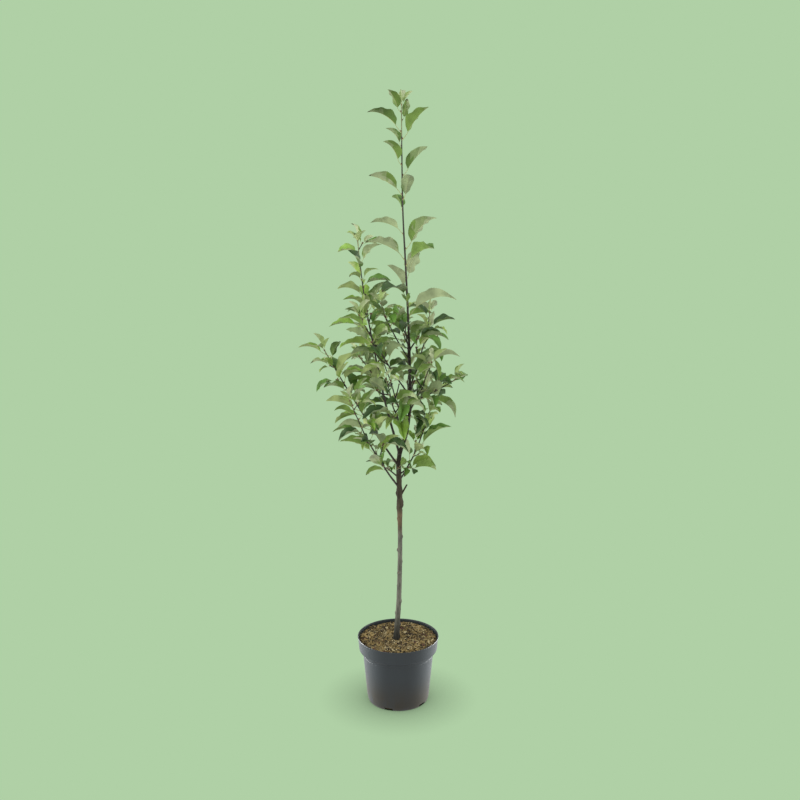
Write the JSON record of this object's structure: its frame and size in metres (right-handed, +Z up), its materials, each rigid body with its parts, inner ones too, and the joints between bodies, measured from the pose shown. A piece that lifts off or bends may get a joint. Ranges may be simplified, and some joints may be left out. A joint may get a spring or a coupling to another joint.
{
  "type": "dwarf apple tree in a pot",
  "caption": "Young dwarf apple tree with one tall leader, short upright side boughs and summer leaves, in a round nursery pot filled with bark mix.",
  "frame": {"origin": "centre of the pot's flat underside, on the surface that the pot stands on", "axes": "+Z up along the pot's axis and the leader, +X to the right and -Y towards the viewer in the picture"},
  "size_m": [0.2948, 0.2333, 1.1035],
  "materials": {
    "pot_plastic": "satin, dark slate, moulded",
    "potting_mix": "loose fine bark and wood fibre",
    "trunk_bark": "grey-brown young bark",
    "twig_bark": "smooth dark brown bark",
    "leaves": "mid green above, pale matte grey-green below"
  },
  "bodies": {
    "root": {"pot": "pot_plastic", "potting_mix": "potting_mix", "trunk": "trunk_bark", "bough_left_low": "twig_bark", "bough_right_low": "twig_bark", "bough_left_wide": "twig_bark", "bough_left_tall": "twig_bark", "bough_back_low": "twig_bark", "bough_front_left": "twig_bark", "bough_back_left": "twig_bark", "bough_left_inner": "twig_bark", "bough_front_right": "twig_bark", "bough_right_mid": "twig_bark", "bough_left_mid": "twig_bark", "bough_right_tall": "twig_bark", "bough_back_high": "twig_bark", "bough_left_high": "twig_bark", "foliage_leader": "leaves", "foliage_left_low": "leaves", "foliage_right_low": "leaves", "foliage_left_wide": "leaves", "foliage_left_tall": "leaves", "foliage_back_low": "leaves", "foliage_front_left": "leaves", "foliage_back_left": "leaves", "foliage_left_inner": "leaves", "foliage_front_right": "leaves", "foliage_right_mid": "leaves", "foliage_left_mid": "leaves", "foliage_right_tall": "leaves", "foliage_back_high": "leaves", "foliage_left_high": "leaves", "spur_low_front": "leaves", "spur_low_left": "leaves", "spur_low_right": "leaves", "spur_mid_front": "leaves", "spur_mid_back": "leaves", "spur_high_front": "leaves", "spur_high_right": "leaves", "spur_high_left": "leaves"}
  },
  "joints": []
}
